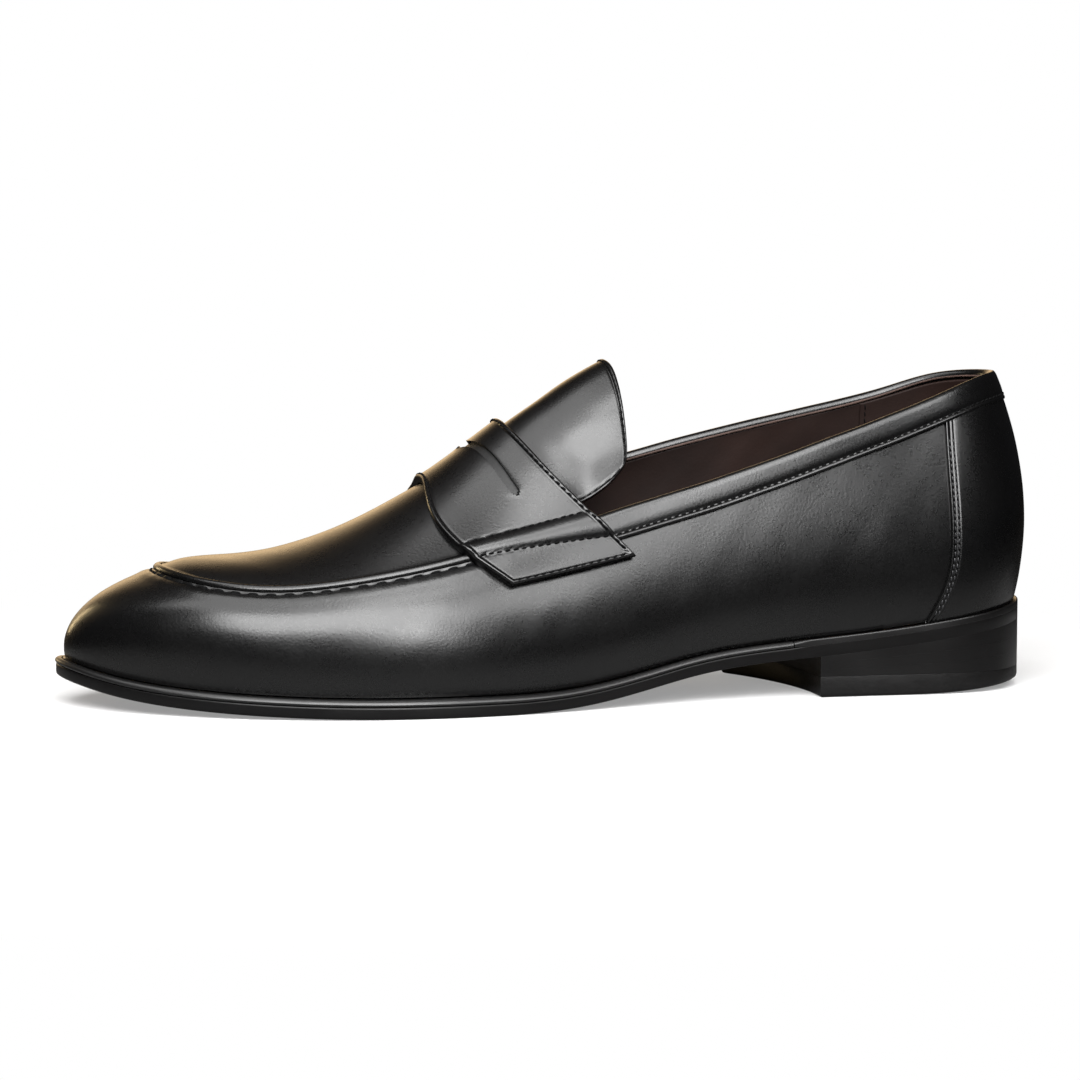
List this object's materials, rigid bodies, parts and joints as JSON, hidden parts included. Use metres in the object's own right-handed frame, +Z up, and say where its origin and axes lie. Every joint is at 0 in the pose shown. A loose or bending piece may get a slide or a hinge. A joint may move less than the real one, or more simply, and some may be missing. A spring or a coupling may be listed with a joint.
{
  "type": "penny loafer",
  "caption": "Left slip-on loafer with a sewn apron, a slotted strap over the instep, a lined tongue, a welted leather sole and a low stacked heel.",
  "frame": {"origin": "on the ground, at the middle of the shoe's length and width", "axes": "+X from the toe to the heel, +Y to the inner side of the foot, +Z up"},
  "size_m": [0.2986, 0.1026, 0.1008],
  "materials": {
    "upper_leather": "black calf, satin, fine grain",
    "trim_leather": "black calf, satin, folded and skived",
    "lining_leather": "dark brown lining leather, matt",
    "sole_leather": "dark reddish brown sole leather, burnished",
    "edge_leather": "black waxed leather edge, glossy",
    "heel_leather": "stacked leather, black waxed edge",
    "heel_rubber": "black rubber top piece",
    "board": "leather board, unfinished",
    "cork": "ground cork filler",
    "steel": "bare spring steel",
    "nail_brass": "bare brass"
  },
  "bodies": {
    "shoe": {"outsole": "sole_leather", "welt": "edge_leather", "heel_rand": "edge_leather", "cork_filler": "cork", "steel_shank": "steel", "insole_board": "board", "sock_liner": "lining_leather", "heel_top_piece": "heel_rubber", "heel_lift_1": "heel_leather", "heel_lift_2": "heel_leather", "heel_lift_3": "heel_leather", "heel_nail_1": "nail_brass", "heel_nail_2": "nail_brass", "heel_nail_3": "nail_brass", "heel_nail_4": "nail_brass", "heel_nail_5": "nail_brass", "toe_puff": "board", "heel_counter": "board", "vamp_lining": "lining_leather", "quarter_lining_lateral": "lining_leather", "quarter_lining_medial": "lining_leather", "heel_lining": "lining_leather", "vamp_skirt": "upper_leather", "heel_foxing": "upper_leather", "apron": "upper_leather", "apron_piping": "trim_leather", "collar_binding": "trim_leather", "saddle_strap": "upper_leather"},
    "tongue": {"tongue": "upper_leather", "tongue_lining": "lining_leather"}
  },
  "joints": [
    {"name": "tongue_flex", "type": "hinge", "parent": "shoe", "child": "tongue", "pos_m": [-0.0127, 0.00402, 0.0828], "axis": [0, -1, 0], "range_deg": [0, 25], "stiffness_Nm_per_rad": 0.3}
  ]
}
